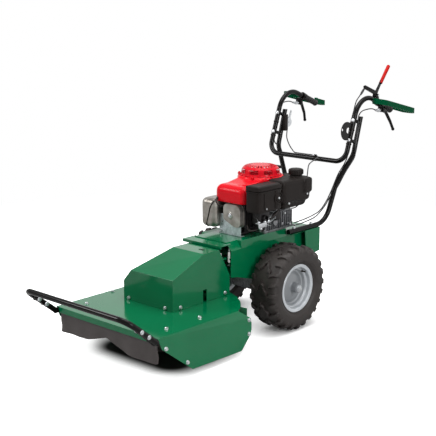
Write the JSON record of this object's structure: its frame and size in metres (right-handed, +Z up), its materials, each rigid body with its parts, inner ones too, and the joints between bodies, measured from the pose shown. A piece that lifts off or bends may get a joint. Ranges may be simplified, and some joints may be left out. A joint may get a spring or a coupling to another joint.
{
  "type": "walk-behind brush cutter",
  "caption": "Walk-behind brush cutter: a pivoting blade deck with brush bar on a two-wheel chassis, upright engine, U-shaped handle with guards and levers.",
  "frame": {"origin": "centre of the bounding box at ground level", "axes": "+Z up, -Y forward, +X the operator's left"},
  "size_m": [0.7054, 2.1272, 1.2437],
  "materials": {
    "green": "gloss powder coat",
    "black_gloss": "gloss powder coat",
    "black_plastic": "moulded, semi-matt",
    "rubber": "matt",
    "tyre": "matt",
    "flap": "matt",
    "rim": "satin",
    "cast": "as cast",
    "steel": "machined",
    "zinc": "zinc plated",
    "aluminised": "aluminised sheet",
    "galvanised": "galvanised sheet",
    "red": "gloss",
    "red_plastic": "gloss",
    "cable": "vinyl sheath"
  },
  "bodies": {
    "chassis": {"main_frame": "green", "rear_shelf": "green", "guard_L": "green", "guard_R": "green", "handle_bar": "black_gloss", "lower_tube_L": "black_gloss", "lower_tube_R": "black_gloss", "lever_perch_L": "black_gloss", "lever_perch_R": "black_gloss", "lever_bracket": "black_gloss", "cable_plate": "black_gloss", "air_box": "black_plastic", "fuel_tank": "black_plastic", "oil_filler": "black_plastic", "throttle_body": "black_plastic", "grip_L": "rubber", "grip_R": "rubber", "traction_belt": "rubber", "transaxle": "cast", "engine_block": "cast", "carburettor": "cast", "muffler": "aluminised", "valve_cover": "aluminised", "heat_plate": "galvanised", "engine_shroud": "red", "recoil_cover": "red_plastic", "clutch_cable_L": "cable", "clutch_cable_R": "cable", "blade_cable": "cable", "throttle_cable": "cable"},
    "wheel_L": {"tyre_L": "tyre", "rim_L": "rim", "axle_shaft_L": "steel"},
    "wheel_R": {"tyre_R": "tyre", "rim_R": "rim", "axle_shaft_R": "steel"},
    "deck": {"deck_shell": "green", "rear_skirt": "green", "belt_cover": "green", "pivot_bracket": "green", "spindle_housing": "cast", "brush_bar": "black_gloss", "flap_rod": "steel", "blade_belt": "rubber"},
    "blade_rotor": {"spindle_pulley": "steel", "blade": "steel", "skid_dish": "steel"},
    "flap": {"front_flap": "flap"},
    "crankshaft": {"crank_pulley": "steel", "flywheel": "cast"},
    "traction_input": {"traction_pulley": "steel"},
    "idler_arm": {"idler_arm": "zinc"},
    "idler": {"idler_pulley": "steel"},
    "lock": {"lock_pin": "zinc"},
    "starter": {"starter_grip": "black_plastic"},
    "cap": {"fuel_cap": "black_plastic"},
    "lever_L": {"hand_lever_L": "black_plastic"},
    "lever_R": {"hand_lever_R": "black_plastic"},
    "blade_lever": {"blade_lever": "black_gloss"},
    "throttle": {"throttle_lever": "zinc"}
  },
  "joints": [
    {"name": "wheel_spin_L", "type": "hinge", "parent": "chassis", "child": "wheel_L", "pos_m": [0.234, 0.099, 0.2116], "axis": [1, 0, 0], "continuous": true},
    {"name": "wheel_spin_R", "type": "hinge", "parent": "chassis", "child": "wheel_R", "pos_m": [-0.234, 0.099, 0.2116], "axis": [1, 0, 0], "continuous": true},
    {"name": "deck_roll", "type": "hinge", "parent": "chassis", "child": "deck", "pos_m": [0, -0.141, 0.27], "axis": [0, 1, 0], "range_deg": [-12, 12], "deforming": ["blade_belt"]},
    {"name": "blade_spin", "type": "hinge", "parent": "deck", "child": "blade_rotor", "pos_m": [0, -0.533, 0.088], "axis": [0, 0, 1], "continuous": true},
    {"name": "flap_swing", "type": "hinge", "parent": "deck", "child": "flap", "pos_m": [0, -0.865, 0.194], "axis": [1, 0, 0], "range_deg": [-15, 60]},
    {"name": "crank_spin", "type": "hinge", "parent": "chassis", "child": "crankshaft", "pos_m": [0, 0.167, 0.34], "axis": [0, 0, 1], "continuous": true},
    {"name": "traction_spin", "type": "hinge", "parent": "chassis", "child": "traction_input", "pos_m": [0, 0.039, 0.308], "axis": [0, 0, 1], "continuous": true},
    {"name": "idler_swing", "type": "hinge", "parent": "chassis", "child": "idler_arm", "pos_m": [0.02, 0.007, 0.36], "axis": [0, 0, 1], "range_deg": [-21, 1]},
    {"name": "idler_spin", "type": "hinge", "parent": "idler_arm", "child": "idler", "pos_m": [0.091, -0.031, 0.34], "axis": [0, 0, 1], "continuous": true},
    {"name": "lock_pull", "type": "slide", "parent": "chassis", "child": "lock", "axis": [0, 0, 1], "range_m": [0, 0.02], "stiffness_N_per_m": 400, "springref_m": -0.01},
    {"name": "starter_pull", "type": "slide", "parent": "chassis", "child": "starter", "axis": [0, 0.8191, 0.5736], "range_m": [0, 0.6], "stiffness_N_per_m": 20, "springref_m": -0.15},
    {"name": "cap_turn", "type": "hinge", "parent": "chassis", "child": "cap", "pos_m": [0.16, 0.247, 0.75], "axis": [0, 0, 1], "range_deg": [0, 90]},
    {"name": "hand_lever_L", "type": "hinge", "parent": "chassis", "child": "lever_L", "pos_m": [0.274, 0.823, 1.013], "axis": [1, 0, 0], "range_deg": [0, 28], "stiffness_Nm_per_rad": 1.5, "springref_deg": -17.19},
    {"name": "hand_lever_R", "type": "hinge", "parent": "chassis", "child": "lever_R", "pos_m": [-0.274, 0.823, 1.013], "axis": [1, 0, 0], "range_deg": [0, 28], "stiffness_Nm_per_rad": 1.5, "springref_deg": -17.19},
    {"name": "blade_engage", "type": "hinge", "parent": "chassis", "child": "blade_lever", "pos_m": [0.247, 0.799, 1.089], "axis": [-1, 0, 0], "range_deg": [0, 50], "deforming": ["blade_cable"]},
    {"name": "throttle_set", "type": "hinge", "parent": "chassis", "child": "throttle", "pos_m": [-0.218, 0.655, 0.924], "axis": [1, 0, 0], "range_deg": [-25, 20]}
  ],
  "couplings": [
    {"joint": "traction_spin", "follows": "crank_spin", "ratio": 0.5818},
    {"joint": "idler_swing", "follows": "blade_engage", "ratio": -0.4}
  ]
}
